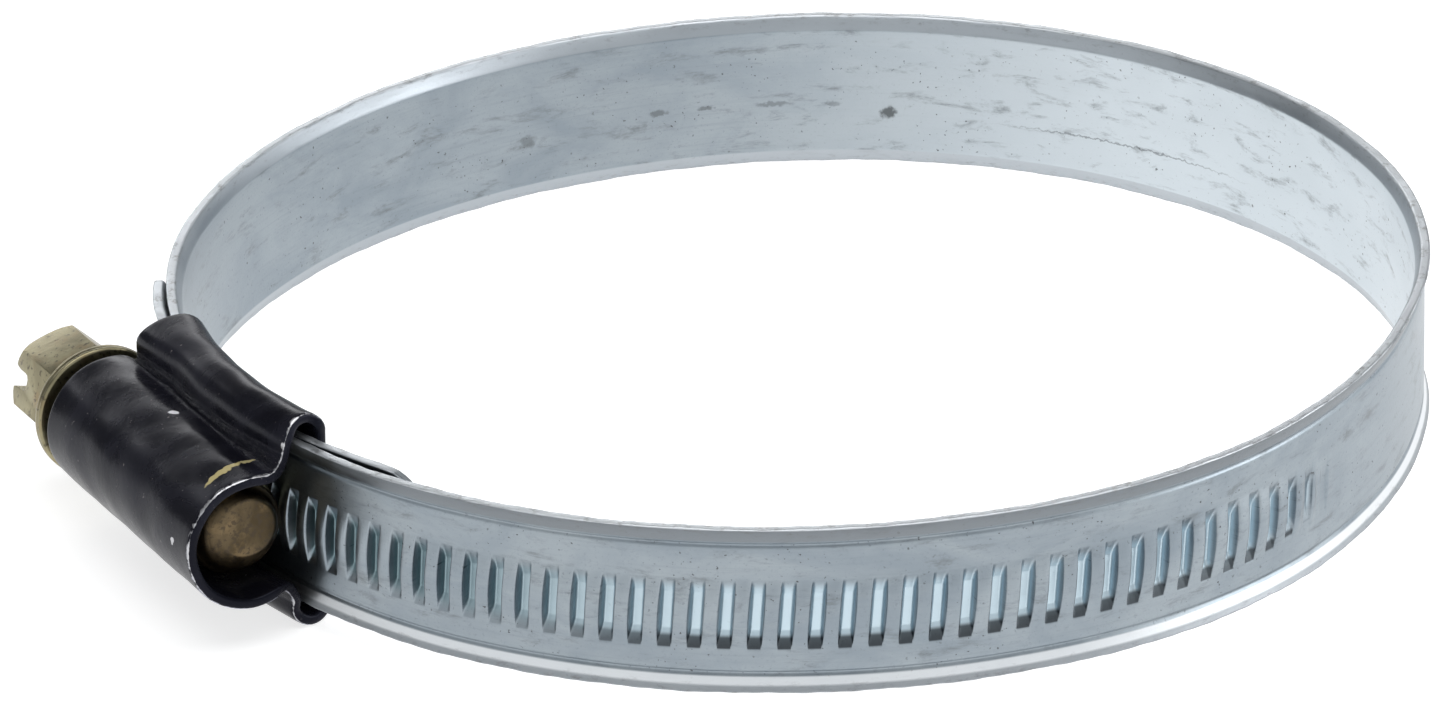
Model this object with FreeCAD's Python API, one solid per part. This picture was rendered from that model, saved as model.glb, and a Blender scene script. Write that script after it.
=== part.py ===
import FreeCAD, Part
import math
import os

# Worm-drive hose clamp. The origin is on the hose's axis at the band's mid width, +Z runs along the
# hose, the housing is on +X and the screw runs along Y with its head towards -Y. Millimetres, degrees.

# ---- band ----
HOSE_R = 43.2              # inner radius of the plain round part, which grips the hose
BAND_T = 0.7               # strip thickness
BAND_HALF = 6.0            # half of the 12 mm strip width
FLAT_HALF = 4.8            # half width of the flat between the two rolled edges
FLARE = 0.4                # how far the edges are rolled outwards
LAYER_1_R = 44.0           # inner radius of the fixed end, which lies in the saddle
LAYER_2_R = 44.8           # inner radius of the toothed strap, which slides over the fixed end

# ---- places round the ring, anticlockwise from +X seen from above ----
TONGUE_END = 25.8          # free tip of the fixed end
TONGUE_CORNER = 2.5        # radius of its corners
STRAP_TAIL = -26.0         # free tip of the toothed strap
TAIL_CORNER = 0.5
STRAP_END = 72.0           # where the drawn-in part of the strap stops
PLAIN_START = 140.0        # plain round part, about the hose's axis
PLAIN_END = 252.0
SETTLE_START = 90.0        # from here to PLAIN_START the strap comes in to the hose
FIXED_END = 344.0          # the fixed end stops just behind the housing
FRONT_LINKS = 3
PLAIN_LINKS = 5
BACK_LINKS = 4
LINK_GAP = 0.1             # between neighbouring links
OPEN_GAP = 1.2             # at the open pivot, between the last link and the strap

# ---- thread ----
PITCH = 2.0
MESH_R = 45.35             # radius at which grooves and thread share the pitch
GROOVE_STEP = math.degrees(PITCH / MESH_R)
GROOVE_PHASE = 1.26        # place of the groove nearest to +X
GROOVE_FIRST = -10         # groove numbers, from the tail to the last one
GROOVE_LAST = 43
GROOVE_DEPTH = 0.5
GROOVE_WIDTH = 1.0
GROOVE_FLOOR_WIDTH = 0.8
GROOVE_LENGTH = 5.2
GROOVE_FLOOR_LENGTH = 2.7
GROOVE_Z = -0.4            # the grooves' middle, a little below the strip's
GROOVE_REACH = 1.0         # degrees from a groove's middle to its furthest corner

# ---- screw ----
SCREW_X = 48.7             # distance of the screw's axis from the hose's axis
THREAD_R = 3.55
CORE_R = 2.6
CREST_WIDTH = 0.45
ROOT_WIDTH = 1.1
THREAD_TURNS = 7.7
THREAD_START = -8.0        # the crest is then in a groove on the band side
TIP_Y = 9.6
TIP_R = 2.9
TIP_LENGTH = 1.6
TIP_TAPER = 0.3
NECK_R = 3.3
FLANGE_R = 4.83
FLANGE_Y = -13.4           # the flange's front face, clear of the housing's rear edge
FLANGE_T = 1.1
HEX_FLATS = 6.9            # a 7 mm hexagon, as made
HEX_HEIGHT = 6.7
HEX_CHAMFER = 0.75
SLOT_WIDTH = 1.2
SLOT_DEPTH = 2.3
HEX_TURN = 45.0            # direction of one corner of the hexagon, about the screw's axis
SLOT_TURN = 15.0           # direction of the slot, which crosses two flats

# ---- housing ----
SHEET = 0.75
LOBE_R = 4.84              # outside of the screw's tunnel
TUNNEL_R = 4.0
LOBE_BACK = -12.2
LOBE_FRONT = 11.2
WING_R = 45.05             # middle of the band's passage
WING_HALF = 1.85           # half of the wing's width, and the radius of its rounded top
WING_TURN = 12.9           # the wings reach this far each way round the ring
NECK_HALF = 10.0           # half length of the neck between tunnel and wings
NECK_X = 44.9

O = FreeCAD.Vector(0, 0, 0)
X = FreeCAD.Vector(1, 0, 0)
Y = FreeCAD.Vector(0, 1, 0)
Z = FreeCAD.Vector(0, 0, 1)


def vec(x, y, z):
    return FreeCAD.Vector(x, y, z)


def on_ring(radius, angle):
    """A point at mid width, by its radius and its place round the ring."""
    turn = math.radians(angle)
    return vec(radius * math.cos(turn), radius * math.sin(turn), 0)


def ease(t):
    """A smooth step from 0 to 1."""
    t = min(max(t, 0.0), 1.0)
    return t * t * (3 - 2 * t)


def inner_radius(angle):
    """The free band's inner radius: strap layer, then the hose, then the saddle's layer."""
    if angle < PLAIN_START:
        inward = ease((angle - SETTLE_START) / (PLAIN_START - SETTLE_START))
        return LAYER_2_R + (HOSE_R - LAYER_2_R) * inward
    outward = ease((angle - PLAIN_END) / (FIXED_END - PLAIN_END))
    return HOSE_R + (LAYER_1_R - HOSE_R) * outward


def band_section(radius):
    """The strip's cross-section in the XZ plane: a flat with both edges rolled outwards."""
    rise = BAND_HALF - FLAT_HALF
    roll = (rise ** 2 + FLARE ** 2) / (2 * FLARE)
    half_turn = math.asin(rise / roll) / 2
    mid_x = roll * (1 - math.cos(half_turn))
    mid_z = FLAT_HALF + roll * math.sin(half_turn)

    def rolled_edge(base, side, outward):
        points = [
            vec(base, 0, side * FLAT_HALF),
            vec(base + mid_x, 0, side * mid_z),
            vec(base + FLARE, 0, side * BAND_HALF),
        ]
        if not outward:
            points.reverse()
        return Part.Arc(*points).toShape()

    inner, outer = radius, radius + BAND_T
    edges = [
        Part.makeLine(vec(inner, 0, -FLAT_HALF), vec(inner, 0, FLAT_HALF)),
        rolled_edge(inner, 1, True),
        Part.makeLine(vec(inner + FLARE, 0, BAND_HALF), vec(outer + FLARE, 0, BAND_HALF)),
        rolled_edge(outer, 1, False),
        Part.makeLine(vec(outer, 0, FLAT_HALF), vec(outer, 0, -FLAT_HALF)),
        rolled_edge(outer, -1, True),
        Part.makeLine(vec(outer + FLARE, 0, -BAND_HALF), vec(inner + FLARE, 0, -BAND_HALF)),
        rolled_edge(inner, -1, False),
    ]
    return Part.Face(Part.Wire(edges))


def bent_strip(centre, radius, start, end):
    """A stretch of strip, bent to a radius about a vertical line through centre."""
    section = band_section(radius)
    section.rotate(O, Z, start)
    strip = section.revolve(O, Z, end - start)
    strip.translate(centre)
    return strip


def groove_cutter(angle, surface_r):
    """The space of one pressed groove, with sloping ends, leaning along the thread."""
    above = 0.6
    slope = (GROOVE_LENGTH - GROOVE_FLOOR_LENGTH) / 2 / GROOVE_DEPTH
    taper = (GROOVE_WIDTH - GROOVE_FLOOR_WIDTH) / 2 / GROOVE_DEPTH

    def outline(height):
        long_half = GROOVE_FLOOR_LENGTH / 2 + slope * height
        wide_half = GROOVE_FLOOR_WIDTH / 2 + taper * height
        x = surface_r - GROOVE_DEPTH + height
        corners = [(-1, -1), (1, -1), (1, 1), (-1, 1), (-1, -1)]
        return Part.makePolygon([vec(x, a * wide_half, b * long_half) for a, b in corners])

    cutter = Part.makeLoft([outline(0), outline(GROOVE_DEPTH + above)], True)
    lean = math.degrees(math.atan(PITCH / (2 * math.pi * (SCREW_X - surface_r))))
    cutter.translate(vec(0, 0, GROOVE_Z))
    cutter.rotate(O, X, -lean)
    cutter.rotate(O, Z, angle)
    return cutter


def cut_grooves(strip, start, end, surface_r):
    """Press the thread's grooves into a strip between two angles; its ends may cross a groove."""
    for number in range(GROOVE_FIRST, GROOVE_LAST + 1):
        angle = GROOVE_PHASE + number * GROOVE_STEP
        if start - GROOVE_REACH < angle < end + GROOVE_REACH:
            strip = strip.cut(groove_cutter(angle, surface_r(angle)))
    return strip


def rounded_tip(strip, angle, side, radius, corner):
    """Round both corners of a strip's free tip. The strip lies on the given side of the tip."""
    depth = 3.0
    blank = Part.makeBox(2 * depth, corner, corner, vec(radius - depth, 0, BAND_HALF - corner))
    round_off = Part.makeCylinder(corner, 2 * depth, vec(radius - depth, 0, BAND_HALF - corner), X)
    bite = blank.cut(round_off)
    if side > 0:
        bite = bite.mirror(O, Y)
    bite.translate(vec(0, side * corner, 0))
    low_bite = bite.mirror(O, Z)
    for piece in (bite, low_bite):
        piece.rotate(O, Z, angle)
        strip = strip.cut(piece)
    return strip


def band_fixed_end():
    """The band's fixed end: its tongue, the layer in the saddle and the exit behind the housing."""
    gap = math.degrees(LINK_GAP / 2 / LAYER_1_R)
    strip = bent_strip(O, LAYER_1_R, FIXED_END - 360 + gap, TONGUE_END)
    return rounded_tip(strip, TONGUE_END, -1, LAYER_1_R, TONGUE_CORNER)


def toothed_strap():
    """The drawn-in part of the strap, from its tail to the open pivot, bent about the hose's axis."""
    end = STRAP_END - math.degrees(OPEN_GAP / LAYER_2_R)
    strip = bent_strip(O, LAYER_2_R, STRAP_TAIL, end)
    strip = rounded_tip(strip, STRAP_TAIL, 1, LAYER_2_R, TAIL_CORNER)
    return cut_grooves(strip, STRAP_TAIL, end, lambda angle: LAYER_2_R + BAND_T)


def link_bounds():
    """The places of the links' pivots, from the housing's back round to the strap."""
    runs = [
        (FIXED_END, PLAIN_END, BACK_LINKS),
        (PLAIN_END, PLAIN_START, PLAIN_LINKS),
        (PLAIN_START, STRAP_END, FRONT_LINKS),
    ]
    bounds = [FIXED_END]
    for start, end, count in runs:
        for number in range(1, count + 1):
            bounds.append(start + (end - start) * number / count)
    return bounds


def circle_through(first, middle, last):
    """Centre and radius of the circle through three points at mid width."""
    circle = Part.Arc(first, middle, last).toShape().Curve
    return circle.Center, circle.Radius


def band_link(start, end):
    """One link of the free band, from its pivot at start to the next at end, going clockwise."""
    first = on_ring(inner_radius(start), start)
    middle = on_ring(inner_radius((start + end) / 2), (start + end) / 2)
    last = on_ring(inner_radius(end), end)
    if PLAIN_START <= end and start <= PLAIN_END:
        centre, radius = O, HOSE_R
    else:
        centre, radius = circle_through(first, middle, last)
    gap = math.degrees(LINK_GAP / 2 / radius)
    from_angle = math.degrees(math.atan2(last.y - centre.y, last.x - centre.x))
    to_angle = math.degrees(math.atan2(first.y - centre.y, first.x - centre.x))
    if to_angle < from_angle:
        to_angle += 360
    strip = bent_strip(centre, radius, from_angle + gap, to_angle - gap)
    return cut_grooves(strip, end, start, lambda angle: inner_radius(angle) + BAND_T)


def tunnel(radius, half_width, back, front, neck_half, neck_x):
    """A round tunnel about the screw's axis, open down to the band between two flat walls."""
    round_part = Part.makeCylinder(radius, front - back, vec(SCREW_X, back, 0), Y)
    neck = Part.makeBox(
        SCREW_X - neck_x, 2 * neck_half, 2 * half_width, vec(neck_x, -neck_half, -half_width)
    )
    return round_part.fuse(neck)


def stadium(half_width, turn):
    """A flat-sided loop section with round top and bottom, bent about the hose's axis."""
    top = vec(WING_R, 0, BAND_HALF + half_width)
    bottom = vec(WING_R, 0, -BAND_HALF - half_width)
    low, high = WING_R - half_width, WING_R + half_width
    edges = [
        Part.makeLine(vec(low, 0, -BAND_HALF), vec(low, 0, BAND_HALF)),
        Part.Arc(vec(low, 0, BAND_HALF), top, vec(high, 0, BAND_HALF)).toShape(),
        Part.makeLine(vec(high, 0, BAND_HALF), vec(high, 0, -BAND_HALF)),
        Part.Arc(vec(high, 0, -BAND_HALF), bottom, vec(low, 0, -BAND_HALF)).toShape(),
    ]
    face = Part.Face(Part.Wire(edges))
    face.rotate(O, Z, -turn)
    return face.revolve(O, Z, 2 * turn)


def housing():
    """The pressed sheet housing: the screw's tunnel, and wings that wrap round the band's edges."""
    past = 3.0
    saddle_top = WING_R - WING_HALF + SHEET
    outside = tunnel(LOBE_R, TUNNEL_R + SHEET, LOBE_BACK, LOBE_FRONT, NECK_HALF, NECK_X)
    outside = outside.fuse(stadium(WING_HALF, WING_TURN))
    inside = tunnel(
        TUNNEL_R, TUNNEL_R, LOBE_BACK - past, LOBE_FRONT + past, LOBE_FRONT + past, saddle_top
    )
    passage = stadium(WING_HALF - SHEET, WING_TURN + past)
    return outside.cut(inside).cut(passage).removeSplitter()


def thread_ridge():
    """The worm's ridge, a trapezium swept along a right-hand helix about Z."""
    bury = 0.1
    height = THREAD_TURNS * PITCH
    path = Part.Wire(Part.makeHelix(PITCH, height, CORE_R).Edges)
    root_half = ROOT_WIDTH / 2
    crest_half = CREST_WIDTH / 2
    corners = [
        vec(CORE_R - bury, 0, -root_half),
        vec(THREAD_R, 0, -crest_half),
        vec(THREAD_R, 0, crest_half),
        vec(CORE_R - bury, 0, root_half),
    ]
    section = Part.makePolygon(corners + corners[:1])
    ridge = path.makePipeShell([section], True, True)
    ridge.translate(vec(0, 0, THREAD_START))
    return ridge


def screw_head():
    """The flange and the slotted hexagon, below the flange's front face, about Z."""
    flange = Part.makeCylinder(FLANGE_R, FLANGE_T, vec(0, 0, FLANGE_Y - FLANGE_T))
    low = FLANGE_Y - FLANGE_T - HEX_HEIGHT
    corner_r = HEX_FLATS / math.sqrt(3)
    corners = []
    for number in range(7):
        turn = math.radians(60 * number)
        corners.append(vec(corner_r * math.cos(turn), corner_r * math.sin(turn), low))
    hexagon = Part.Face(Part.makePolygon(corners)).extrude(Z * HEX_HEIGHT)
    chamfer = Part.makeCone(corner_r - HEX_CHAMFER, corner_r, HEX_CHAMFER, vec(0, 0, low))
    body = Part.makeCylinder(corner_r, HEX_HEIGHT - HEX_CHAMFER, vec(0, 0, low + HEX_CHAMFER))
    hexagon = hexagon.common(chamfer.fuse(body))
    slot = Part.makeBox(4 * corner_r, SLOT_WIDTH, SLOT_DEPTH, vec(-2 * corner_r, -SLOT_WIDTH / 2, low))
    slot.rotate(O, Z, HEX_TURN - SLOT_TURN)
    return flange.fuse(hexagon.cut(slot))


def worm_screw():
    """The worm screw, built about Z with its tip up, then laid along Y beside the band."""
    core_length = TIP_Y - FLANGE_Y
    core = Part.makeCylinder(CORE_R, core_length, vec(0, 0, FLANGE_Y))
    neck = Part.makeCylinder(NECK_R, THREAD_START - FLANGE_Y, vec(0, 0, FLANGE_Y))
    tip = Part.makeCone(TIP_R, TIP_R - TIP_TAPER, TIP_LENGTH, vec(0, 0, TIP_Y - TIP_LENGTH))
    head = screw_head()
    head.rotate(O, Z, -HEX_TURN)
    screw = core.fuse(neck).fuse(tip).fuse(head).fuse(thread_ridge())
    screw.rotate(O, X, -90)
    screw.translate(vec(SCREW_X, 0, 0))
    return screw


def save(name, shape):
    shape.exportStep("parts/" + name + ".step")
    print(name, "valid", shape.isValid(), "solids", len(shape.Solids), "volume", round(shape.Volume, 2))


def main():
    os.makedirs("parts", exist_ok=True)
    save("housing", housing())
    save("worm_screw", worm_screw())
    save("band_fixed_end", band_fixed_end())
    save("band_toothed_strap", toothed_strap())
    bounds = link_bounds()
    for number in range(1, len(bounds)):
        save("band_link_%02d" % number, band_link(bounds[number - 1], bounds[number]))


main()
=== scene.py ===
import math

import bpy
import bmesh
import numpy as np
from mathutils import Matrix, Vector


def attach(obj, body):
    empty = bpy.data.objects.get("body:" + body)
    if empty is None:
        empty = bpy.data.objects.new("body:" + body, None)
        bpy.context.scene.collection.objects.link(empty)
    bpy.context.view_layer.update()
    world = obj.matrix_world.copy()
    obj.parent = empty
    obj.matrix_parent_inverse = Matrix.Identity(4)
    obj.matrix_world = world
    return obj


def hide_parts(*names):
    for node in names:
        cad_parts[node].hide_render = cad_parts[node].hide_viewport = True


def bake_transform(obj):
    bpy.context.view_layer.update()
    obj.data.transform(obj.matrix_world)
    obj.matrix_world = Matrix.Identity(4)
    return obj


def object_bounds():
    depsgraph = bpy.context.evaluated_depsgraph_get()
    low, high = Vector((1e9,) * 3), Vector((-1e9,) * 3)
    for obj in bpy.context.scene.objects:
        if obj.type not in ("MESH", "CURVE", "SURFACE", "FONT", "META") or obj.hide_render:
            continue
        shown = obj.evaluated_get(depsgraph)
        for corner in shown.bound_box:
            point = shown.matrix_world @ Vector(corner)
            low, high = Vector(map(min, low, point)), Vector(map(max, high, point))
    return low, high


# Looks of the worm-drive hose clamp. Shapes are worked out in millimetres and stored in metres.
# The hose's axis is Z, the housing is on +X, and the screw runs along Y with its head towards -Y.

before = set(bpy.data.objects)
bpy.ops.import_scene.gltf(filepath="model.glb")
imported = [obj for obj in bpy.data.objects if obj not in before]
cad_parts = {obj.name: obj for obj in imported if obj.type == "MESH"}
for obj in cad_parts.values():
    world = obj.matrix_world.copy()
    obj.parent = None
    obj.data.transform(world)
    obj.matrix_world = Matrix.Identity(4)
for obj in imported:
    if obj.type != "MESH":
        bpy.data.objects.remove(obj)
cad_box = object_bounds()
MM = 0.001

# ---- band ----
BAND_T = 0.7
BAND_HALF = 6.0
FLAT_HALF = 4.8
FLARE = 0.4
HOSE_R = 43.2
LAYER_1_R = 44.0
LAYER_2_R = 44.8
STRAP_TAIL = -26.0
TONGUE_END = 385.8         # the tongue's tip, one turn on
STRAP_END = 72.0
FIXED_END = 350.0          # where the part held by the housing begins
RIM_R = 0.16               # rounding of the strip's edges, in this many steps at each corner
RIM_STEPS = 4
LINK_RUNS = (              # the links' pivots, evenly spaced between two angles, and their number
    (344.0, 252.0, 4),
    (252.0, 140.0, 5),
    (140.0, 72.0, 3),
)
ARC_R = 45.0               # turns an angle round the ring into a length along the strip

# ---- grooves ----
PITCH = 2.0
PITCH_R = 45.35            # the radius on which the pitch is measured
GROOVE_STEP = math.degrees(PITCH / PITCH_R)
GROOVE_PHASE = 1.26
GROOVE_FIRST = -10
GROOVE_LAST = 44           # a faint mark; the last few fade out
GROOVE_Z = -0.4            # their middle, a little below the strip's
GROOVE_HALF = 2.6          # half length, with a sloping ramp at each end
GROOVE_RAMP = 1.25
GROOVE_DEPTH = 0.5
GROOVE_LEAN = math.tan(math.radians(5.5))
RUNG_BULGE = 0.38
COINED_DEPTH = 0.12        # of the fine line pressed beside each rolled edge, outside
COINED_HEIGHT = 4.68
COINED_WIDTH = 0.16

# ---- screw ----
SCREW_X = 48.7
THREAD_START = -8.0
RUN_START = -8.1           # the thread rises from the core here and sinks into it at its run's end
RUN_END = 7.7
THREAD_R = 3.55
CORE_R = 2.6
FLANGE_Y = -13.4
FLANGE_T = 1.1
HEX_FLATS = 6.9
HEX_END = -21.2
SLOT_TURN = 15.0           # the slot's direction about the screw's axis; it crosses two flats
SLOT_HALF = 0.64
SLOT_DEPTH = 2.35
SEGMENTS = 96              # of every round piece

# ---- housing ----
SHEET = 0.75
LOBE_R = 4.84              # the tunnel round the screw, outside
WING_R = 45.05
WING_HALF = 1.85
LOBE_BACK = -12.2
LOBE_FRONT = 11.2
WING_END = 10.14           # where the wings end, before and behind
EDGE_ZONE = 0.9            # beside each edge, where the rows stand at fixed distances from it
DUST_SPOTS = (             # place and half sizes in metres, turn about Z, colour
    ((0.0500, 0.0093, 0.0049), (0.0018, 0.00034, 0.0012), 0.27, (0.45, 0.38, 0.18, 1)),
    ((0.0479, 0.0088, 0.0052), (0.0006, 0.00025, 0.0009), 0.2, (0.36, 0.31, 0.16, 1)),
    ((0.0489, -0.0008, 0.0052), (0.00022, 0.00042, 0.0009), 0.5, (0.75, 0.75, 0.78, 1)),
    ((0.0539, 0.0089, 0.0007), (0.0009, 0.00022, 0.00022), 0.3, (0.6, 0.6, 0.62, 1)),
)
STRIP_MARKS = (            # inside the ring: place along and up, half length and width, strength
    ((182.5, -1.8), 0.75, 0.6, 0.9),
    ((162.0, -2.1), 12.5, 0.09, 0.55),
    ((201.0, -1.0), 0.9, 0.3, 0.6),
    ((197.1, -1.0), 0.8, 0.22, 0.6),
    ((191.6, -1.0), 1.7, 0.25, 0.5),
    ((187.0, -1.1), 0.8, 0.2, 0.4),
    ((212.0, -1.4), 0.9, 0.6, 0.5),
)

# ---- camera and floor ----
CAMERA_PLACE = (0.23393, 0.43148, 0.22209)      # metres
CAMERA_RIGHT = (-0.87741, 0.47867, -0.03212)
CAMERA_AHEAD = (-0.42390, -0.80488, -0.41530)
CAMERA_LENS = 188.59       # focal length for a sensor 36 mm wide
FLOOR_HALF = 2500


# ================================ mesh helpers ================================

def make_object(name, points, faces, loop_normals=None, attributes=None):
    """A mesh object from points in millimetres. Attributes hold one number or vector per point."""
    mesh = bpy.data.meshes.new(name)
    mesh.from_pydata((np.asarray(points) * MM).tolist(), [], faces)
    for key, values in (attributes or {}).items():
        values = np.asarray(values, np.float32)
        if values.ndim == 1:
            mesh.attributes.new(key, "FLOAT", "POINT").data.foreach_set("value", values)
        else:
            mesh.attributes.new(key, "FLOAT_VECTOR", "POINT").data.foreach_set("vector", values.ravel())
    mesh.shade_smooth()
    if loop_normals is not None:
        mesh.normals_split_custom_set(loop_normals)
    mesh.update()
    made = bpy.data.objects.new(name, mesh)
    bpy.context.scene.collection.objects.link(made)
    return made


def grid_normals(grid, wrap_columns=False):
    """Unit normals of a grid of points whose rows close on themselves."""
    along = np.empty_like(grid)
    if wrap_columns:
        along = np.roll(grid, -1, 0) - np.roll(grid, 1, 0)
    else:
        along[1:-1] = grid[2:] - grid[:-2]
        along[0] = grid[1] - grid[0]
        along[-1] = grid[-1] - grid[-2]
    across = np.roll(grid, -1, 1) - np.roll(grid, 1, 1)
    normal = np.cross(across, along)
    return normal / np.maximum(np.linalg.norm(normal, axis=2, keepdims=True), 1e-12)


def smooth(value, start, end):
    """A smooth step from 0 at start to 1 at end."""
    t = np.clip((np.asarray(value, float) - start) / (end - start), 0, 1)
    return t * t * (3 - 2 * t)


# ==================================== band ====================================

def flare(z):
    """How far the rolled edge stands out at a height: a tight bend, then nearly straight."""
    t = np.clip((np.abs(z) - FLAT_HALF) / (BAND_HALF - FLAT_HALF), 0, None)
    soft = 0.16
    return FLARE * (np.sqrt(t * t + soft * soft) - soft) / (math.sqrt(1 + soft * soft) - soft)


def band_profile():
    """The strip's section as a closed row of (offset outwards, height, is it the outer face)."""
    upper = [0.0, 0.35, 0.7, 0.9, 1.0, 1.3, 1.6, 1.7, 1.8, 2.05, 2.16, 2.24, 2.6, 2.9, 2.98, 3.06]
    upper += [3.4, 3.9, 4.3, 4.46, 4.54, 4.6, 4.66, 4.72, 4.78, 4.84, 4.9, 4.97, 5.06, 5.3, 5.6, 5.84]
    heights = [-z for z in reversed(upper[1:])] + upper
    pressed = [COINED_DEPTH * math.exp(-((abs(z) - COINED_HEIGHT) / COINED_WIDTH) ** 2) for z in heights]
    outer_face = [(BAND_T + flare(z) - line, z, 1.0) for z, line in zip(heights, pressed)]
    inner_face = [(flare(z), z, 0.0) for z in reversed(heights)]

    corner = []
    for turn in np.radians(np.linspace(0, 90, RIM_STEPS + 1)[1:]):
        corner.append((RIM_R - RIM_R * math.cos(turn), RIM_R - RIM_R * math.sin(turn)))
    inner = flare(BAND_HALF)
    outer = BAND_T + inner
    top_rim = [(outer - a, BAND_HALF - b, 0.7) for a, b in corner]
    top_rim.append(((inner + outer) / 2, BAND_HALF, 0.5))
    top_rim += [(inner + a, BAND_HALF - b, 0.3) for a, b in reversed(corner)]
    low_rim = [(offset, -z, face) for offset, z, face in reversed(top_rim)]
    return np.array(outer_face + top_rim + inner_face + low_rim)


def band_angles():
    """Places of the columns round the ring: close together at each groove and at the two tips."""
    groove = [-1.0, -0.78, -0.62, -0.53, -0.475, -0.41, -0.2, 0.0, 0.2, 0.41, 0.475, 0.53, 0.62, 0.78]
    angles = []
    for number in range(GROOVE_FIRST, GROOVE_LAST + 1):
        middle = GROOVE_PHASE + number * GROOVE_STEP
        angles += [middle + math.degrees(u / PITCH_R) for u in groove]
    first, last = angles[0], angles[-1]
    tip = np.array([0, 0.05, 0.12, 0.25, 0.45, 0.7, 1.0, 1.4, 1.9, 2.5])
    tail = STRAP_TAIL + np.degrees(tip / LAYER_2_R)
    angles = [a for a in tail if a < first - 0.2] + angles
    angles += list(np.arange(last + 0.6, TONGUE_END - 3.6, 0.75))
    angles += list(TONGUE_END - np.degrees(tip[::-1] / LAYER_1_R))
    return np.array(angles)


def inner_radius(angle):
    """The strip's inner radius: strap layer, then the hose, then the saddle's layer, then the tongue."""
    strap = LAYER_2_R + (HOSE_R - LAYER_2_R) * smooth(angle, 90, 140)
    back = (LAYER_1_R - HOSE_R) * smooth(angle, 252, 344)
    tail_gap = 0.16 * np.sin(np.clip((angle - STRAP_TAIL) / 13.0, 0, 1) * math.pi)
    tongue_droop = 0.28 * smooth(angle, 370, 380)
    return strap + back + tail_gap - tongue_droop


def groove_shape(angle, z):
    """How far the outer face stands out at a place: rungs bulge outwards, grooves go in."""
    number = np.clip(np.round((angle - GROOVE_PHASE) / GROOVE_STEP), GROOVE_FIRST, GROOVE_LAST)
    across = np.radians(angle - GROOVE_PHASE - number * GROOVE_STEP) * PITCH_R
    across = np.minimum(np.abs(across), PITCH / 2)
    first_rung = GROOVE_PHASE + (GROOVE_FIRST - 0.5) * GROOVE_STEP
    last_rung = GROOVE_PHASE + (GROOVE_LAST + 0.5) * GROOVE_STEP
    inside = smooth(angle, first_rung - 0.6, first_rung + 0.5)
    inside = inside * (1 - smooth(angle, last_rung - 0.5, last_rung + 0.6))
    fading = np.clip(number - GROOVE_LAST + 4, 0, 4)
    strength = 1 - 0.053 * fading ** 2
    up = np.abs(z - GROOVE_Z)
    round_top = np.clip(1 - (up / (GROOVE_HALF + 0.05)) ** 2, 0, None) ** 1.4
    rung = RUNG_BULGE * round_top * strength * (1 - 0.3 * (np.clip(1.0 - across, 0, None) / 0.5) ** 2)
    wall = 1 - smooth(across, 0.405, 0.5)
    ramp = np.clip((GROOVE_HALF * (1 - 0.09 * fading) - up) / GROOVE_RAMP, 0, 1)
    depth = -GROOVE_DEPTH * ramp * strength
    return inside * (rung * (1 - wall) + depth * wall)


def band_grid():
    """Points, texture coordinates and normals of the whole strip, laid out flat as one grid."""
    profile = band_profile()
    angles = band_angles()
    offset, height, outward = (profile[:, i][None, :] for i in range(3))
    place = angles[:, None]
    tail_room = np.radians(place - STRAP_TAIL) * LAYER_2_R
    tongue_room = np.radians(TONGUE_END - place) * LAYER_1_R

    def tip_half(room, corner):
        room = np.clip(room, 0, corner)
        return BAND_HALF - corner + np.sqrt(np.maximum(corner ** 2 - (corner - room) ** 2, 0))

    half = np.minimum(tip_half(tail_room, 0.5), tip_half(tongue_room, 2.5))
    end_room = np.minimum(tail_room, tongue_room)
    thin = 0.7 + 0.3 * smooth(end_room, 0, 0.13)
    z = height * half / BAND_HALF
    waver = 0.022 * np.sin(place * 0.53) + 0.016 * np.sin(place * 1.37 + 1)
    waver = waver + 0.012 * np.sin(place * 3.1 + 2)
    z = z + waver * smooth(np.abs(height), 5.5, 6.0) * np.sign(height)
    middle = BAND_T / 2 + flare(height)
    lean = GROOVE_LEAN * np.clip(height, -3.0, 3.0) * (1 - smooth(np.abs(height), 3.3, 4.8))
    turned = place + np.degrees(lean / PITCH_R)
    radius = inner_radius(turned) + middle + (offset - middle) * thin
    sunk = groove_shape(place + 0 * height, height) * (outward > 0.9)
    radius = radius + sunk
    radius = radius + 0.02 * np.sin(place * 0.31 + height * 0.2)
    grid = np.stack(
        [radius * np.cos(np.radians(turned)), radius * np.sin(np.radians(turned)), z + 0 * turned], 2
    )
    rest = np.stack([np.radians(turned) * ARC_R, z + 0 * turned, outward + 0 * turned], 2)
    normals = grid_normals(grid)
    return angles, grid, rest, normals, np.clip(-sunk / GROOVE_DEPTH, 0, 1)


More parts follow.
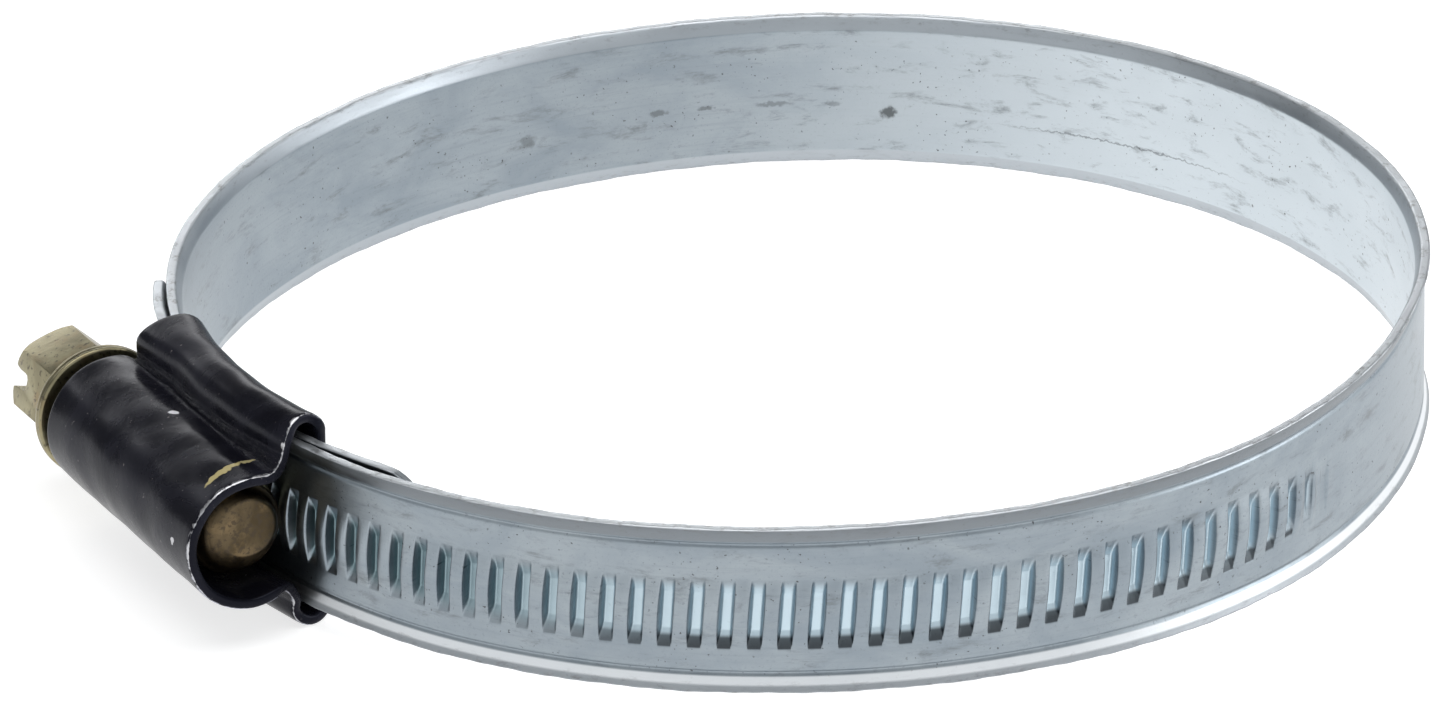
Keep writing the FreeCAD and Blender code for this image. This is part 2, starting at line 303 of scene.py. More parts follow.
def band_piece(name, strip, start, end):
    """The strip's stretch between two angles as one closed mesh.

    Its faces and the grid's normals point into the sheet. The normals of the two end caps point out.
    """
    angles, grid, rest, normals, sunk = strip
    first = int(np.argmin(np.abs(angles - start)))
    last = int(np.argmin(np.abs(angles - end)))
    columns, rows = last - first + 1, grid.shape[1]
    index = np.arange(columns * rows).reshape(columns, rows)
    nearer, further = index[:-1], index[1:]
    faces = np.stack(
        [nearer, np.roll(nearer, -1, 1), np.roll(further, -1, 1), further], 2
    ).reshape(-1, 4).tolist()
    flat_normals = normals[first:last + 1].reshape(-1, 3)
    loops = [flat_normals[i] for face in faces for i in face]
    rim = 2 * RIM_STEPS + 1
    last_outer = rows // 2 - rim - 1
    for column, direction in ((0, -1), (columns - 1, 1)):
        line = index[column].tolist()
        inner = line[rows // 2:rows - rim][::-1]
        caps = [[line[k], line[k + 1], inner[k + 1], inner[k]] for k in range(last_outer)]
        caps += [line[last_outer:rows // 2 + 1], line[rows - rim - 1:] + line[:1]]
        turn = math.radians(angles[first + column])
        for cap in caps:
            faces.append(cap[::direction])
            loops += [np.array([-math.sin(turn), math.cos(turn), 0]) * direction] * len(cap)
    return make_object(
        name,
        grid[first:last + 1].reshape(-1, 3),
        faces,
        [tuple(n) for n in loops],
        {"strip": rest[first:last + 1].reshape(-1, 3), "sunk": sunk[first:last + 1].ravel()},
    )


def link_middles():
    """The links' middles to a hundredth of a degree, where the strip's pieces meet, going clockwise."""
    middles = []
    for start, end, count in LINK_RUNS:
        for number in range(count):
            middles.append(round(start + (end - start) * (number + 0.5) / count, 2))
    return middles


def build_band(material):
    """All the strip's pieces: the strap, the fixed end and the front piece each on its body, the pieces
    between the links baked in place and not attached.
    """
    strip = band_grid()
    strap = band_piece("toothed_strap", strip, STRAP_TAIL, STRAP_END)
    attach(strap, "strap")
    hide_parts("band_toothed_strap")
    fixed = band_piece("fixed_end", strip, FIXED_END, TONGUE_END)
    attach(fixed, "housing")
    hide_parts("band_fixed_end")
    made = [strap, fixed]
    bounds = [FIXED_END] + link_middles()
    for number in range(1, len(bounds)):
        piece = band_piece("band_%02d" % number, strip, bounds[number], bounds[number - 1])
        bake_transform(piece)
        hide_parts("band_link_%02d" % number)
        made.append(piece)
    front = band_piece("band_13", strip, STRAP_END, bounds[-1])
    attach(front, "link_12")
    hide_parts("band_link_12")
    made.append(front)
    for piece in made:
        piece.data.materials.append(material)


# =================================== housing ===================================

def housing_section():
    """Upper half of the sheet's outer line, from under the band to the far side of the tunnel.

    Each row is (distance from the hose's axis, height, share of the bend round the ring, crease).
    """
    low = WING_R - WING_HALF
    rows = [(low, z, 1.0, 0.0) for z in (0.0, 1.2, 2.4, 3.6, 4.8)]
    for turn in np.radians(np.linspace(180, 0, 17)):
        rows.append((WING_R + WING_HALF * math.cos(turn), BAND_HALF + WING_HALF * math.sin(turn), 1.0, 0.0))
    leg = np.array([WING_R + WING_HALF, BAND_HALF - 0.15])
    on_lobe = math.radians(101)
    lobe = np.array([SCREW_X + LOBE_R * math.cos(on_lobe), LOBE_R * math.sin(on_lobe)])
    first = leg + np.array([0.05, -0.95])
    second = lobe - 1.05 * np.array([math.sin(on_lobe), -math.cos(on_lobe)])
    for t in np.linspace(0, 1, 15)[1:]:
        s = 1 - t
        point = s ** 3 * leg + 3 * s * s * t * first + 3 * s * t * t * second + t ** 3 * lobe
        bend = 1 - smooth(t, 0.05, 0.95)
        crease = math.exp(-((t - 0.5) / 0.22) ** 2)
        rows.append((point[0], point[1], bend, crease))
    for turn in np.radians(np.linspace(101, 0, 21)[1:]):
        rows.append((SCREW_X + LOBE_R * math.cos(turn), LOBE_R * math.sin(turn), 0.0, 0.0))
    return np.array(rows)


def housing_stations():
    """The rows round the sheet, from the front edge to the back outside, then to the front inside.

    Each is (side, how far in from that side's edge, depth in the sheet). A pair ("share", t) is a share
    of the way from the edge to the middle.
    """
    rim = [(0.34, 0.0), (0.2, 0.015), (0.1, 0.06), (0.03, 0.15), (0.0, 0.28), (0.0, SHEET / 2)]
    rim += [(room, SHEET - depth) for room, depth in rim[-2::-1]]
    inward = [0.6, EDGE_ZONE] + [("share", t) for t in np.linspace(0, 1, 17)[1:-1]]
    stations = [("front", room, 0.0) for room in inward]
    stations.append(("middle", 0.0, 0.0))
    stations += [("back", room, 0.0) for room in reversed(inward)]
    stations += [("back", room, depth) for room, depth in rim]
    stations += [("back", room, SHEET) for room in inward]
    stations.append(("middle", 0.0, SHEET))
    stations += [("front", room, SHEET) for room in reversed(inward)]
    stations += [("front", room, depth) for room, depth in reversed(rim)]
    return stations


def build_housing(material):
    """The pressed sheet housing, lofted from its front edge to its back edge, outside and inside."""
    half = housing_section()
    lower = half[1:-1][::-1] * np.array([1, -1, 1, 1])
    section = np.vstack([half, lower])
    distance, height, bend, crease = (section[:, i] for i in range(4))
    ahead = np.roll(section[:, :2], -1, 0) - np.roll(section[:, :2], 1, 0)
    out = np.stack([-ahead[:, 1], ahead[:, 0]], 1)
    out /= np.linalg.norm(out, axis=1, keepdims=True)

    front_edge = LOBE_FRONT + (WING_END - LOBE_FRONT) * bend
    back_edge = LOBE_BACK + (-WING_END - LOBE_BACK) * bend
    front_edge = front_edge + 0.12 * np.sin(height * 2.1) * bend - 0.25 * crease
    back_edge = back_edge + 0.2 * np.sin(height * 1.7 + 1) * bend + 0.35 * crease
    half_length = (front_edge - back_edge) / 2
    grid, edge_wear, creases = [], [], []
    for side, room, depth in housing_stations():
        if isinstance(room, tuple):
            room = EDGE_ZONE + (half_length - EDGE_ZONE) * room[1]
        if side == "front":
            y = front_edge - room
        elif side == "back":
            y = back_edge + room
        else:
            y = (front_edge + back_edge) / 2
        x = distance - out[:, 0] * depth
        z = height - out[:, 1] * depth
        leg_side = np.clip((distance - WING_R) / WING_HALF, 0, 1.2) * bend
        x = x + 1.3 * leg_side * smooth(-y, 4.0, 11.0)
        pinch = np.where(height < 0, 0.35, 0.2) * crease * smooth(np.abs(y), 5.0, 10.5)
        z = z - np.sign(height) * pinch
        dent = 0.035 * np.sin(y * 0.9 + height) * np.sin(distance * 1.3 + y * 0.35)
        x = x + out[:, 0] * dent
        z = z + out[:, 1] * dent
        turn = y / WING_R
        bent_x, bent_y = x * np.cos(turn), x * np.sin(turn)
        grid.append(np.stack([x + (bent_x - x) * bend, y + (bent_y - y) * bend, z], 1))
        at_rim = side != "middle" and np.max(room) < 0.36
        wear = max(0.0, 1 - abs(depth - 0.05) / 0.16) if at_rim else 0.0
        edge_wear.append(np.full(len(x), wear * (1.0 if side == "front" else 0.75)))
        creases.append(crease)
    grid = np.array(grid)
    columns, rows = grid.shape[:2]
    index = np.arange(columns * rows).reshape(columns, rows)
    further = np.roll(index, -1, 0)
    faces = np.stack(
        [index, further, np.roll(further, -1, 1), np.roll(index, -1, 1)], 2
    ).reshape(-1, 4).tolist()
    normals = -grid_normals(grid, wrap_columns=True).reshape(-1, 3)
    made = make_object(
        "housing_shell",
        grid.reshape(-1, 3),
        faces,
        [tuple(normals[i]) for face in faces for i in face],
        {"edge_wear": np.array(edge_wear).ravel(), "crease": np.array(creases).ravel()},
    )
    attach(made, "housing")
    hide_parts("housing")
    made.data.materials.append(material)


# ==================================== screw ====================================

def lathe(name, outline):
    """A closed turned piece about the screw's axis.

    Each point is (place along the axis, radius, how far its ring is off centre towards the band and up).
    """
    outline = [tuple(point) + (0.0,) * (3 - len(point)) for point in outline]
    turns = np.linspace(0, 2 * math.pi, SEGMENTS, endpoint=False)
    points = [[SCREW_X, outline[0][0], 0]]
    for y, r, off in outline[1:-1]:
        points += [[SCREW_X - off + r * math.cos(t), y, off + r * math.sin(t)] for t in turns]
    points.append([SCREW_X - outline[-1][2], outline[-1][0], outline[-1][2]])
    rings = len(outline) - 2
    faces = []
    for k in range(SEGMENTS):
        n = (k + 1) % SEGMENTS
        faces.append([0, 1 + k, 1 + n])
        for ring in range(rings - 1):
            a = 1 + ring * SEGMENTS
            b = a + SEGMENTS
            faces.append([a + k, b + k, b + n, a + n])
        last = 1 + (rings - 1) * SEGMENTS
        faces.append([last + k, len(points) - 1, last + n])
    made = make_object(name, points, faces)
    face_outwards(made)
    return made


def face_outwards(made):
    """Make all faces of a closed mesh look outwards."""
    work = bmesh.new()
    work.from_mesh(made.data)
    bmesh.ops.recalc_face_normals(work, faces=work.faces)
    work.to_mesh(made.data)
    work.free()


def prism(name, outline, low, high):
    """A closed prism along Z between two heights, from an outline in millimetres."""
    count = len(outline)
    points = [[x, y, low] for x, y in outline] + [[x, y, high] for x, y in outline]
    faces = [list(range(count))[::-1], list(range(count, 2 * count))]
    faces += [[k, (k + 1) % count, count + (k + 1) % count, count + k] for k in range(count)]
    made = make_object(name, points, faces)
    face_outwards(made)
    return made


def apply_modifiers(made):
    """Bake an object's modifiers into its mesh."""
    bpy.context.view_layer.update()
    graph = bpy.context.evaluated_depsgraph_get()
    mesh = bpy.data.meshes.new_from_object(made.evaluated_get(graph))
    made.modifiers.clear()
    made.data = mesh


def boolean(made, other, operation):
    """Intersect or cut a piece with another, which is then removed."""
    cut = made.modifiers.new(operation, "BOOLEAN")
    cut.object = other
    cut.operation = operation
    cut.solver = "EXACT"
    apply_modifiers(made)
    bpy.data.objects.remove(other)


def build_hexagon(material):
    """The slotted hexagon, made with its end up along Z, then laid along the screw's axis."""
    corner = HEX_FLATS / math.sqrt(3)
    length = FLANGE_Y - FLANGE_T - HEX_END
    corners = [math.radians(30 + 60 * k) for k in range(6)]
    outline = [(corner * math.cos(turn), corner * math.sin(turn)) for turn in corners]
    head = prism("screw_hexagon", outline, -0.3, length)
    turns = np.linspace(0, 2 * math.pi, SEGMENTS, endpoint=False)
    rings = [
        (-1.0, corner + 0.5), (length - 1.0, corner + 0.06), (length - 0.5, corner - 0.32),
        (length, corner - 1.15),
    ]
    points = [[r * math.cos(t), r * math.sin(t), z] for z, r in rings for t in turns]
    faces = [list(range(SEGMENTS))[::-1], list(range(3 * SEGMENTS, 4 * SEGMENTS))]
    for ring in range(3):
        a = ring * SEGMENTS
        b = a + SEGMENTS
        for k in range(SEGMENTS):
            n = (k + 1) % SEGMENTS
            faces.append([a + k, a + n, b + n, b + k])
    chamfer = make_object("chamfer", points, faces)
    face_outwards(chamfer)
    boolean(head, chamfer, "INTERSECT")

    half = SLOT_HALF
    floor_y = length - SLOT_DEPTH
    slot = [
        (-half, length - 1.1), (-half - 0.07, length - 0.7), (-half - 0.24, length - 0.25),
        (-half - 0.7, length + 0.5),
    ]
    slot += [(-x, y) for x, y in slot[::-1]]
    slot += [(half, floor_y + 0.4), (half * 0.86, floor_y + 0.15), (half * 0.5, floor_y)]
    slot += [(-half * 0.5, floor_y), (-half * 0.86, floor_y + 0.15), (-half, floor_y + 0.4)]
    cutter = prism("slot", slot, -6, 6)
    cutter.data.transform(Matrix(((0, 0, 1, 0), (1, 0, 0, 0), (0, 1, 0, 0), (0, 0, 0, 1))))
    boolean(head, cutter, "DIFFERENCE")

    bevel = head.modifiers.new("bevel", "BEVEL")
    bevel.width = 0.11 * MM
    bevel.segments = 3
    bevel.limit_method = "ANGLE"
    bevel.angle_limit = math.radians(24)
    apply_modifiers(head)
    head.data.shade_smooth()
    head.data.set_sharp_from_angle(angle=math.radians(35))

    # +Z of the model becomes -Y of the part, and the slot's direction lies between +X and +Z
    across, rise = math.cos(math.radians(SLOT_TURN)), math.sin(math.radians(SLOT_TURN))
    head.data.transform(Matrix((
        (across, -rise, 0, SCREW_X * MM),
        (0, 0, -1, (FLANGE_Y - FLANGE_T) * MM),
        (rise, across, 0, 0),
        (0, 0, 0, 1),
    )))
    face_outwards(head)
    finish_screw_part(head, material)
    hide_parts("worm_screw")


def finish_screw_part(made, material):
    """Put a piece of the screw on its body and in its material slot."""
    made.data.materials.append(material)
    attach(made, "screw")


def build_flange(material):
    """The flange with its turned rim, and the plain neck behind it."""
    back, front = FLANGE_Y - FLANGE_T, FLANGE_Y
    outline = [
        (back, 0), (back, 3.2), (back, 4.1), (back + 0.04, 4.45), (back + 0.16, 4.7), (back + 0.36, 4.81),
        (back + 0.5, 4.83), (front - 0.42, 4.83), (front - 0.36, 4.8), (front - 0.3, 4.83),
        (front - 0.14, 4.82), (front - 0.05, 4.76), (front, 4.62), (front, 4.0), (front, 3.5),
        (front + 0.06, 3.36), (front + 0.2, 3.3), (-9.2, 3.3), (-9.0, 3.22), (-8.9, 3.0), (-8.9, 2.4),
        (-8.9, 0),
    ]
    made = lathe("screw_flange", outline)
    made.data.set_sharp_from_angle(angle=math.radians(60))
    finish_screw_part(made, material)


def build_thread(material, shaded_tip_material):
    """The core with its right-hand thread, closed at both ends, and the tip with its cropped end."""
    turns = np.linspace(0, 2 * math.pi, SEGMENTS, endpoint=False)[None, :]
    along = np.concatenate([[-8.95], np.arange(-8.9, 8.25, 0.085), [8.3]])[:, None]
    place = (along - THREAD_START + PITCH * turns / (2 * math.pi)) / PITCH
    beside = np.abs(place - np.round(place)) * PITCH
    ridge = 1 - smooth(beside, 0.2, 0.56)
    run = smooth(along, RUN_START - 0.4, RUN_START + 0.5)
    run = run * (1 - smooth(along, RUN_END - 0.2, RUN_END + 0.35))
    radius = CORE_R + (THREAD_R - CORE_R) * ridge * run
    grid = np.stack(
        [SCREW_X + radius * np.cos(turns), along + 0 * turns, radius * np.sin(turns)], 2
    )
    count = len(along)
    points = grid.reshape(-1, 3).tolist()
    points += [[SCREW_X, float(along[0, 0]), 0], [SCREW_X, float(along[-1, 0]), 0]]
    index = np.arange(count * SEGMENTS).reshape(count, SEGMENTS)
    faces = np.stack(
        [index[:-1], index[1:], np.roll(index[1:], -1, 1), np.roll(index[:-1], -1, 1)], 2
    ).reshape(-1, 4).tolist()
    for k in range(SEGMENTS):
        n = (k + 1) % SEGMENTS
        faces.append([int(index[0, k]), int(index[0, n]), len(points) - 2])
        faces.append([int(index[-1, n]), int(index[-1, k]), len(points) - 1])
    made = make_object("screw_thread", points, faces)
    face_outwards(made)
    finish_screw_part(made, material)

    tip = lathe("screw_tip", [
        (7.7, 0), (7.7, 2.4), (7.75, 3.2), (7.9, 3.36), (8.2, 3.36), (8.32, 3.2), (8.5, 2.92),
        (8.9, 2.86, 0.02), (9.1, 2.7, 0.1), (9.35, 2.4, 0.25), (9.5, 2.18, 0.33), (9.58, 2.06, 0.36),
        (9.6, 1.95, 0.36), (9.57, 1.2, 0.36), (9.54, 0.5, 0.36), (9.54, 0, 0.36),
    ])
    # the tip takes a darker copy of the zinc, partly painted shade
    finish_screw_part(tip, shaded_tip_material)


# ================================== materials ==================================

def add(tree, kind, inputs=None, **settings):
    """One shader node. A socket given as an input is linked, anything else is set."""
    made = tree.nodes.new(kind)
    for key, value in settings.items():
        setattr(made, key, value)
    for key, value in (inputs or {}).items():
        if isinstance(value, bpy.types.NodeSocket):
            tree.links.new(value, made.inputs[key])
        else:
            made.inputs[key].default_value = value
    return made


def new_material(name):
    made = bpy.data.materials.new(name)
    made.use_nodes = True
    made.node_tree.nodes.clear()
    return made, made.node_tree


def stretched(tree, vector, scale, shift=(0, 0, 0)):
    made = add(tree, "ShaderNodeMapping", {"Vector": vector, "Scale": scale, "Location": shift})
    return made.outputs[0]


def noise(tree, vector, scale, detail=4.0, rough=0.55, distortion=0.0):
    made = add(tree, "ShaderNodeTexNoise", {
        "Vector": vector, "Scale": scale, "Detail": detail, "Roughness": rough, "Distortion": distortion,
    })
    return made.outputs[0]


def spread(tree, value, low, high, to_low=0.0, to_high=1.0):
    """Map a range of values to another, smoothly and within its ends."""
    made = add(tree, "ShaderNodeMapRange", {
        "Value": value, "From Min": low, "From Max": high, "To Min": to_low, "To Max": to_high,
    }, interpolation_type="SMOOTHSTEP")
    return made.outputs[0]


def calc(tree, operation, a, b):
    return add(tree, "ShaderNodeMath", {0: a, 1: b}, operation=operation).outputs[0]


def blend_colour(tree, share, a, b):
    made = add(tree, "ShaderNodeMix", {0: share, 6: a, 7: b}, data_type="RGBA")
    return made.outputs[2]


def bumped(tree, height, strength, distance, under=None):
    inputs = {"Height": height, "Strength": strength, "Distance": distance}
    if under is not None:
        inputs["Normal"] = under
    return add(tree, "ShaderNodeBump", inputs).outputs[0]


def finish_material(tree, inputs):
    shader = add(tree, "ShaderNodeBsdfPrincipled", inputs)
    add(tree, "ShaderNodeOutputMaterial", {"Surface": shader.outputs[0]})


def zinc_steel():
    """Zinc-plated strip: blue-grey, faintly streaked along its length, specked and smudged, with painted
    light inside the ring, in the grooves and on the rolled edges.
    """
    made, tree = new_material("zinc_strip")
    strip = add(tree, "ShaderNodeAttribute", attribute_name="strip").outputs["Vector"]
    parts = add(tree, "ShaderNodeSeparateXYZ", {0: strip}).outputs
    along, up, outward = parts[0], parts[1], parts[2]
    inside = spread(tree, outward, 0.0, 0.1, 1.0, 0.0)
    height = calc(tree, "ABSOLUTE", up, 0.0)
    edge = spread(tree, height, 5.0, 5.95)
    cloudy = noise(tree, stretched(tree, strip, (0.11, 0.2, 1.0)), 1.0, 5.0, 0.6, 0.6)
    grain = noise(tree, strip, 4.5, 3.0, 0.6)
    ragged = noise(tree, stretched(tree, strip, (0.7, 2.0, 1.0)), 1.4, 6.0, 0.7)

    colour = plated_colour(tree, strip, cloudy, grain)
    # painted reflection: the inside of the ring is painted lighter up to 155 mm along, fading out by 205 mm
    painted_inner_reflection = calc(tree, "MULTIPLY", inside, spread(tree, along, 155.0, 205.0, 0.8, 0.0))
    colour = blend_colour(tree, painted_inner_reflection, colour, (0.68, 0.74, 0.78, 1))
    colour = with_dirt(tree, strip, colour)
    colour = with_painted_groove_light(tree, along, up, colour)
    colour = with_marks(tree, strip, inside, colour)
    colour = with_rolled_edges(tree, up, outward, height, colour)
    edge_dirt = calc(tree, "MULTIPLY", edge, spread(tree, ragged, 0.52, 0.7, 0, 0.55))
    colour = blend_colour(tree, edge_dirt, colour, (0.16, 0.155, 0.15, 1))

    roughness = spread(tree, cloudy, 0.3, 0.7, 0.30, 0.42)
    roughness = calc(tree, "ADD", roughness, calc(tree, "MULTIPLY", edge, 0.12))
    scratches = noise(tree, stretched(tree, strip, (0.25, 9.0, 1.0)), 1.0, 4.0, 0.7)
    normal = bumped(tree, scratches, 0.12, 0.00005)
    normal = bumped(tree, grain, 0.18, 0.00006, normal)
    normal = bumped(tree, calc(tree, "MULTIPLY", ragged, edge), 0.2, 0.00006, normal)
    finish_material(tree, {
        "Base Color": colour, "Metallic": 1.0, "Roughness": roughness, "Normal": normal,
    })
    return made


def plated_colour(tree, strip, cloudy, grain):
    """The plating itself: cloudy blue-grey with streaks along the strip and a fine grain."""
    clouds = spread(tree, cloudy, 0.32, 0.68)
    colour = blend_colour(tree, clouds, (0.25, 0.29, 0.325, 1), (0.33, 0.37, 0.40, 1))
    streaks = noise(tree, stretched(tree, strip, (0.1, 3.2, 1.0)), 1.0, 6.0, 0.7)
    colour = blend_colour(tree, spread(tree, streaks, 0.48, 0.78, 0, 0.35), colour, (0.20, 0.23, 0.255, 1))
    return blend_colour(tree, spread(tree, grain, 0.55, 0.75, 0, 0.3), colour, (0.17, 0.195, 0.215, 1))


def with_dirt(tree, strip, colour):
    """Dark specks in patches, and grime smeared along the strip."""
    specks = noise(tree, strip, 3.1, 2.0, 0.5)
    patches = noise(tree, stretched(tree, strip, (0.16, 0.3, 1.0), (7, 3, 0)), 1.0, 3.0)
    patch_mask = spread(tree, patches, 0.45, 0.62, 0.15, 0.9)
    speck_mask = calc(tree, "MULTIPLY", spread(tree, specks, 0.66, 0.72), patch_mask)
    colour = blend_colour(tree, speck_mask, colour, (0.07, 0.07, 0.075, 1))
    grime = noise(tree, stretched(tree, strip, (0.22, 0.75, 1.0), (2, 9, 0)), 1.0, 8.0, 0.72, 0.3)
    return blend_colour(tree, spread(tree, grime, 0.52, 0.72, 0, 0.7), colour, (0.15, 0.165, 0.175, 1))


def with_painted_groove_light(tree, along, up, colour):
    """Painted light in the grooves: floors dark teal near the housing and painted pale further round, and
    painted shade on the lower ramps away from the housing.
    """
    sunk = add(tree, "ShaderNodeAttribute", attribute_name="sunk").outputs["Fac"]
    from_housing = spread(tree, along, 16.0, 44.0)
    # painted light: groove floors dark teal near the housing, painted pale further round where they catch
    # the light
    painted_floor_light = blend_colour(tree, from_housing, (0.15, 0.24, 0.26, 1), (0.62, 0.76, 0.84, 1))
    colour = blend_colour(tree, spread(tree, sunk, 0.1, 0.9, 0, 0.7), colour, painted_floor_light)
    # painted shade on the lower ramps of the grooves, stronger away from the housing
    ramp = calc(tree, "MULTIPLY", spread(tree, up, -2.3, -2.0, 1.0, 0.0), spread(tree, sunk, 0.02, 0.1))
    ramp = calc(tree, "MULTIPLY", ramp, spread(tree, along, 24.0, 42.0, 0.0, 0.85))
    return blend_colour(tree, ramp, colour, (0.035, 0.04, 0.045, 1))


def with_marks(tree, strip, inside, colour):
    """The few larger spots and scratches inside the ring, with ragged outlines."""
    wander = add(tree, "ShaderNodeTexNoise", {"Vector": strip, "Scale": 2.4, "Detail": 5.0}).outputs[1]
    reach = (1.1, 0.7)
    shaky = add(tree, "ShaderNodeVectorMath", {
        0: wander, 1: (reach[0], reach[1], 0), 2: strip,
    }, operation="MULTIPLY_ADD").outputs[0]
    for place, length, width, strength in STRIP_MARKS:
        centre = (place[0] + reach[0] / 2, place[1] + reach[1] / 2, 0)
        local = add(tree, "ShaderNodeMapping", {
            "Vector": shaky, "Location": centre, "Scale": (length, width, 1000),
        }, vector_type="TEXTURE").outputs[0]
        far = add(tree, "ShaderNodeVectorMath", {0: local}, operation="LENGTH").outputs["Value"]
        mark = calc(tree, "MULTIPLY", spread(tree, far, 0.45, 1.1, strength, 0.0), inside)
        colour = blend_colour(tree, mark, colour, (0.10, 0.11, 0.115, 1))
    return colour


def with_rolled_edges(tree, up, outward, height, colour):
    """The rolled edges: painted shade on the upper flare outside, a painted highlight on the lower flare
    outside with a darker bottom edge, duller inside, light on the top rim.
    """
    outside = calc(tree, "MULTIPLY", up, spread(tree, outward, 0.5, 0.7))
    # painted light on the outer flares: a highlight on the lower one (outer_low), shade on the upper one
    # (outer_top)
    outer_low = spread(tree, outside, -4.9, -4.7, 1.0, 0.0)
    outer_top = spread(tree, outside, 4.7, 4.9)
    low_rim = blend_colour(tree, spread(tree, up, -5.6, -5.4), (0.36, 0.38, 0.40, 1), (0.84, 0.86, 0.88, 1))
    painted_edge_light = blend_colour(tree, outer_low, (0.42, 0.45, 0.48, 1), low_rim)
    painted_edge_light = blend_colour(tree, outer_top, painted_edge_light, (0.20, 0.215, 0.23, 1))
    painted_edge_light = blend_colour(tree, spread(tree, up, 5.88, 5.97), painted_edge_light, (0.74, 0.77, 0.80, 1))
    rolled = spread(tree, height, 4.86, 5.0)
    return blend_colour(tree, calc(tree, "MULTIPLY", rolled, 0.8), colour, painted_edge_light)


def black_enamel():
    """Stoved black enamel over pressed steel: glossy, dusty, worn through at the cut edges."""
    made, tree = new_material("black_enamel")
    place = add(tree, "ShaderNodeTexCoord").outputs["Object"]
    edge = add(tree, "ShaderNodeAttribute", attribute_name="edge_wear").outputs["Fac"]
    crease = add(tree, "ShaderNodeAttribute", attribute_name="crease").outputs["Fac"]
    smudge = noise(tree, place, 220.0, 5.0, 0.6, 0.4)
    dust = noise(tree, place, 3200.0, 2.0, 0.5)
    fine = noise(tree, place, 1500.0, 4.0, 0.6)
    smudges = spread(tree, smudge, 0.35, 0.7)
    colour = blend_colour(tree, smudges, (0.005, 0.005, 0.008, 1), (0.012, 0.012, 0.018, 1))
    dusty = spread(tree, smudge, 0.4, 0.6, 0.1, 0.7)
    dust_mask = calc(tree, "MULTIPLY", spread(tree, dust, 0.70, 0.76), dusty)
    colour = blend_colour(tree, dust_mask, colour, (0.22, 0.20, 0.20, 1))
    wander = add(tree, "ShaderNodeTexNoise", {"Vector": place, "Scale": 1400.0}).outputs[1]
    ragged = add(tree, "ShaderNodeVectorMath", {
        0: wander, 1: (0.0007, 0.0007, 0.0007), 2: place,
    }, operation="MULTIPLY_ADD").outputs[0]
    for spot, size, spin, tint in DUST_SPOTS:
        local = add(tree, "ShaderNodeMapping", {
            "Vector": ragged, "Location": spot, "Rotation": (0, 0, spin), "Scale": size,
        }, vector_type="TEXTURE").outputs[0]
        far = add(tree, "ShaderNodeVectorMath", {0: local}, operation="LENGTH").outputs["Value"]
        colour = blend_colour(tree, spread(tree, far, 0.8, 1.05, 1.0, 0.0), colour, tint)
    worn = calc(tree, "ADD", calc(tree, "MULTIPLY", edge, 0.5), calc(tree, "MULTIPLY", fine, 0.6))
    worn = spread(tree, worn, 0.66, 0.76)
    colour = blend_colour(tree, worn, colour, (0.50, 0.50, 0.52, 1))
    roughness = spread(tree, smudge, 0.3, 0.7, 0.20, 0.32)
    roughness = calc(tree, "ADD", roughness, calc(tree, "MULTIPLY", crease, 0.12))
    normal = bumped(tree, smudge, 0.25, 0.00022)
    wrinkles = noise(tree, stretched(tree, place, (1.6, 0.35, 1.6)), 900.0, 5.0, 0.65, 0.6)
    normal = bumped(tree, calc(tree, "MULTIPLY", wrinkles, crease), 1.0, 0.0007, normal)
    normal = bumped(tree, fine, 0.10, 0.00005, normal)
    finish_material(tree, {
        "Base Color": colour, "Metallic": worn, "Roughness": roughness, "Normal": normal,
        "Specular IOR Level": 0.12, "Specular Tint": (0.72, 0.76, 1.0, 1),
    })
    return made


def yellow_zinc(name, light, dark, speck_level):
    """Yellow-passivated zinc on a turned screw: olive gold with pinkish and brown tints."""
    made, tree = new_material(name)
    place = add(tree, "ShaderNodeTexCoord").outputs["Object"]
    tint = noise(tree, place, 260.0, 4.0, 0.55, 0.8)
    brown = noise(tree, stretched(tree, place, (1, 1, 1), (3, 1, 2)), 520.0, 5.0, 0.6)
    rings = noise(tree, stretched(tree, place, (0.3, 9.0, 0.3)), 900.0, 3.0, 0.6)
    specks = noise(tree, place, 2600.0, 3.0, 0.6)
    colour = blend_colour(tree, spread(tree, tint, 0.3, 0.7), dark, light)
    colour = blend_colour(tree, spread(tree, brown, 0.5, 0.72, 0, 0.6), colour, (0.27, 0.19, 0.10, 1))
    stains = spread(tree, specks, speck_level, speck_level + 0.1, 0, 0.7)
    colour = blend_colour(tree, stains, colour, (0.07, 0.055, 0.04, 1))
    roughness = spread(tree, tint, 0.3, 0.7, 0.30, 0.44)
    normal = bumped(tree, rings, 0.2, 0.00006)
    normal = bumped(tree, specks, 0.15, 0.00006, normal)
    finish_material(tree, {
        "Base Color": colour, "Metallic": 1.0, "Roughness": roughness, "Normal": normal,
    })
    return made


def floor_paper():
    """Matt pale paper with a faint fibre, a little lit from within so that it stays white."""
    made, tree = new_material("floor_paper")
    place = add(tree, "ShaderNodeTexCoord").outputs["Object"]
    fibre = noise(tree, place, 240.0, 3.0)
    colour = blend_colour(tree, fibre, (0.55, 0.55, 0.55, 1), (0.58, 0.58, 0.58, 1))
    finish_material(tree, {
        "Base Color": colour, "Roughness": 0.9, "Specular IOR Level": 0.1,
        "Emission Color": (1, 1, 1, 1), "Emission Strength": 0.72,
    })
    return made


# =============================== studio and camera ===============================

def area_light(name, place, size, power):
    """A soft box that looks at the ring's middle."""
    data = bpy.data.lights.new(name, "AREA")
    data.shape = "RECTANGLE"
    data.size, data.size_y = size
    data.energy = power
    made = bpy.data.objects.new(name, data)
    made.location = place
    made.rotation_euler = (-Vector(place)).to_track_quat("-Z", "Y").to_euler()
    bpy.context.scene.collection.objects.link(made)


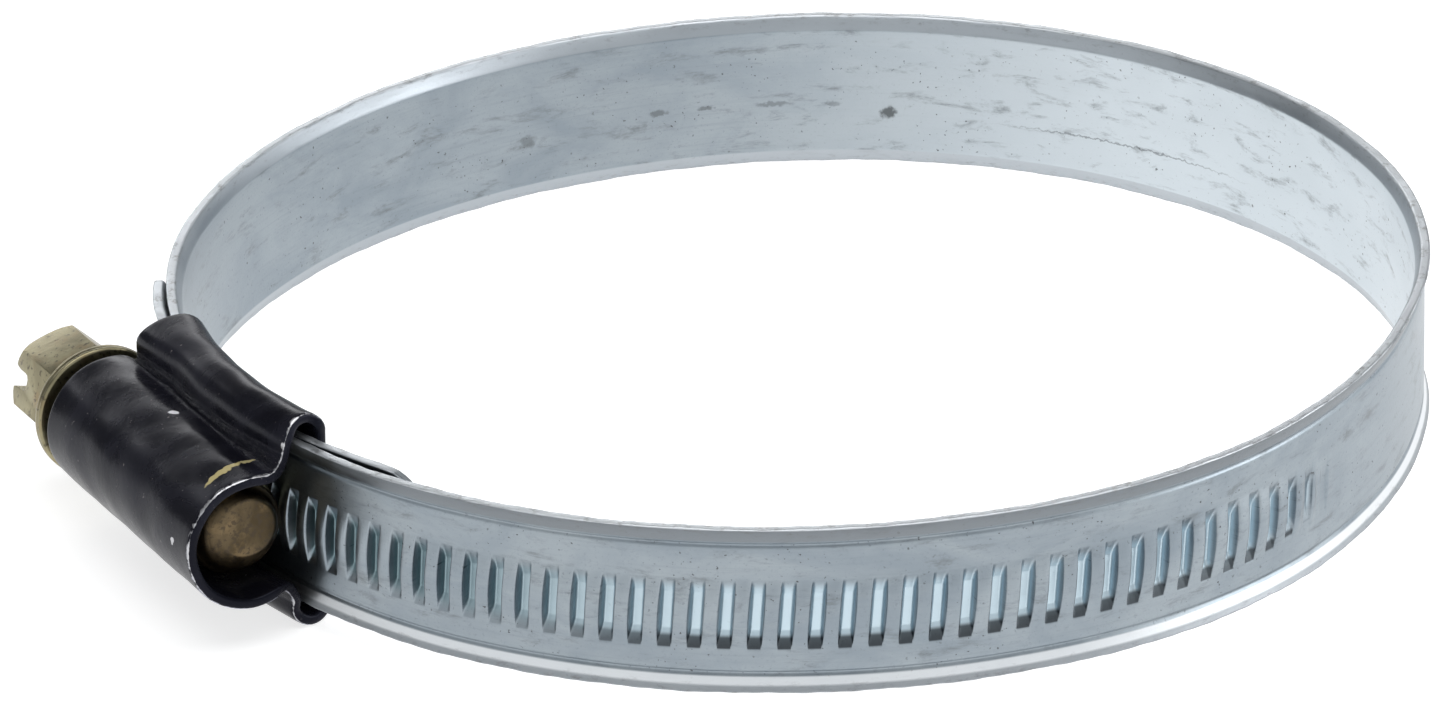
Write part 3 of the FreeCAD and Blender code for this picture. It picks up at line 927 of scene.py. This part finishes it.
def build_studio():
    """A pale floor, a sky that is dimmer overhead and beyond the ring, and three soft boxes."""
    points = [[-FLOOR_HALF, -FLOOR_HALF, 0], [FLOOR_HALF, -FLOOR_HALF, 0], [FLOOR_HALF, FLOOR_HALF, 0]]
    points.append([-FLOOR_HALF, FLOOR_HALF, 0])
    floor = make_object("floor", points, [[0, 1, 2, 3]])
    floor.location.z = cad_box[0].z
    floor.data.materials.append(floor_paper())
    world = bpy.data.worlds.new("studio")
    world.use_nodes = True
    tree = world.node_tree
    direction = add(tree, "ShaderNodeTexCoord").outputs["Generated"]
    parts = add(tree, "ShaderNodeSeparateXYZ", {0: direction}).outputs
    brightness = spread(tree, parts[2], 0.42, 0.75, 0.85, 0.12)
    brightness = calc(tree, "MULTIPLY", brightness, spread(tree, parts[1], -0.6, -0.1, 0.22, 1.0))
    background = tree.nodes["Background"]
    background.inputs["Color"].default_value = (0.95, 0.98, 1.0, 1)
    tree.links.new(brightness, background.inputs["Strength"])
    bpy.context.scene.world = world
    area_light("top_box", (0.05, 0.1, 0.6), (0.7, 0.5), 2.6)
    area_light("side_box", (-0.5, 0.35, 0.25), (0.4, 0.4), 1.6)
    area_light("back_box", (-0.1, -0.6, 0.235), (0.8, 0.13), 1.2)


def build_camera():
    """The camera at the photo's angle."""
    data = bpy.data.cameras.new("camera")
    data.lens = CAMERA_LENS
    data.sensor_width = 36.0
    data.clip_start = 0.01
    made = bpy.data.objects.new("camera", data)
    right = Vector(CAMERA_RIGHT)
    ahead = Vector(CAMERA_AHEAD)
    up = right.cross(ahead)
    made.matrix_world = Matrix((
        (right.x, up.x, -ahead.x, CAMERA_PLACE[0]),
        (right.y, up.y, -ahead.y, CAMERA_PLACE[1]),
        (right.z, up.z, -ahead.z, CAMERA_PLACE[2]),
        (0, 0, 0, 1),
    ))
    bpy.context.scene.collection.objects.link(made)
    bpy.context.scene.camera = made


build_studio()
build_camera()
bpy.context.scene.view_settings.view_transform = "Standard"
build_band(zinc_steel())
build_housing(black_enamel())
gold = yellow_zinc("yellow_zinc", (0.40, 0.365, 0.235, 1), (0.23, 0.205, 0.125, 1), 0.58)
# a darker, browner copy of the yellow zinc for the tip: the end's own brown with painted shade, as the tip
# sits in the tunnel
cropped = yellow_zinc("yellow_zinc_shaded_tip", (0.14, 0.105, 0.062, 1), (0.07, 0.052, 0.03, 1), 0.5)
build_hexagon(gold)
build_flange(gold)
build_thread(gold, cropped)
